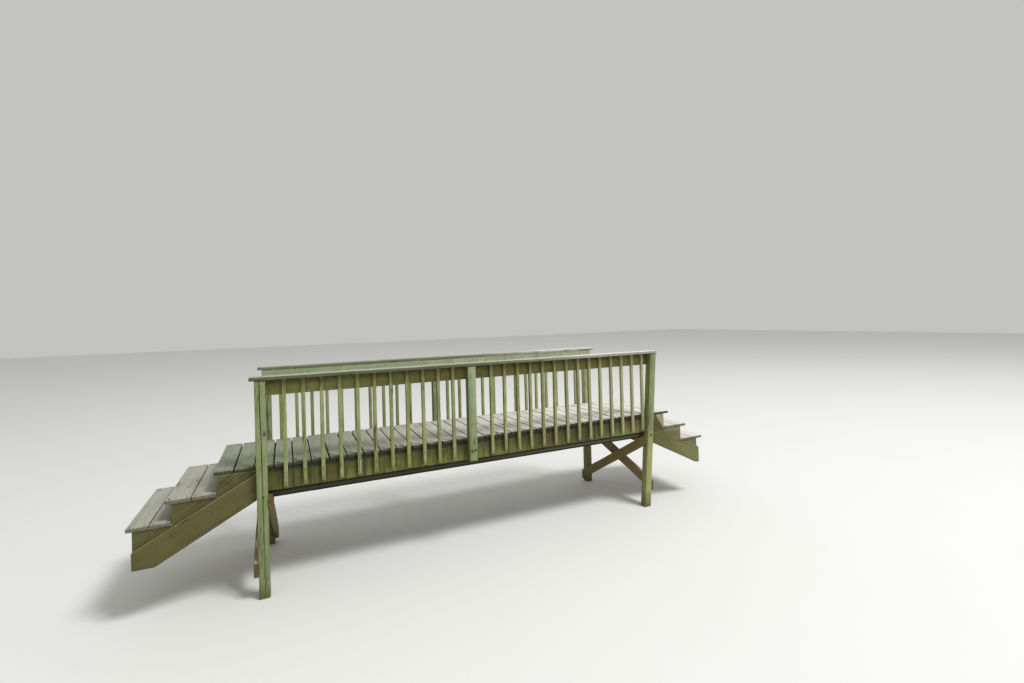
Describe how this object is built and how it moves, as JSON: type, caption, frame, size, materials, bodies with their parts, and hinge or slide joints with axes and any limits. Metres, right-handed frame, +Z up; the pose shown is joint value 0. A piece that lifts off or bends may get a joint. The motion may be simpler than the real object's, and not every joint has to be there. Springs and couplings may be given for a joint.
{
  "type": "wooden footbridge",
  "caption": "Wooden footbridge with picket railings on outside posts, a plank deck on beams, crossed braces at the posts, and steps at both ends",
  "frame": {"origin": "on the floor under the middle of the bridge, midway along its length and width, level with the feet of the four end posts", "axes": "+X along the bridge, left to right in the picture; +Y across it, away from the viewer; +Z up"},
  "size_m": [6.965, 1.395, 2.158],
  "materials": {
    "picket_wood": "rough weathered",
    "cap_wood": "rough weathered",
    "rail_wood": "rough weathered",
    "beam_wood": "rough, damp",
    "deck_wood": "silvered, rough",
    "brace_wood": "rough weathered",
    "string_wood": "rough, damp",
    "tread_wood": "silvered, rough"
  },
  "bodies": {
    "root": {"near_left_post": "picket_wood", "near_middle_post": "picket_wood", "near_right_post": "picket_wood", "far_left_post": "picket_wood", "far_middle_post": "picket_wood", "far_right_post": "picket_wood", "near_cap": "cap_wood", "far_cap": "cap_wood", "near_rail": "rail_wood", "far_rail": "rail_wood", "near_left_balusters": "picket_wood", "near_right_balusters": "picket_wood", "far_left_balusters": "picket_wood", "far_right_balusters": "picket_wood", "near_rim": "beam_wood", "far_rim": "beam_wood", "near_beam": "beam_wood", "far_beam": "beam_wood", "middle_beam": "beam_wood", "left_header": "beam_wood", "right_header": "beam_wood", "deck_left": "deck_wood", "deck_middle": "deck_wood", "deck_right": "deck_wood", "left_brace_inner": "brace_wood", "left_brace_outer": "brace_wood", "right_brace_inner": "brace_wood", "right_brace_outer": "brace_wood", "left_string_near": "string_wood", "left_string_far": "string_wood", "left_side_near": "string_wood", "left_side_far": "string_wood", "left_treads": "tread_wood", "right_string_near": "string_wood", "right_string_far": "string_wood", "right_side_near": "string_wood", "right_side_far": "string_wood", "right_treads": "tread_wood"}
  },
  "joints": []
}
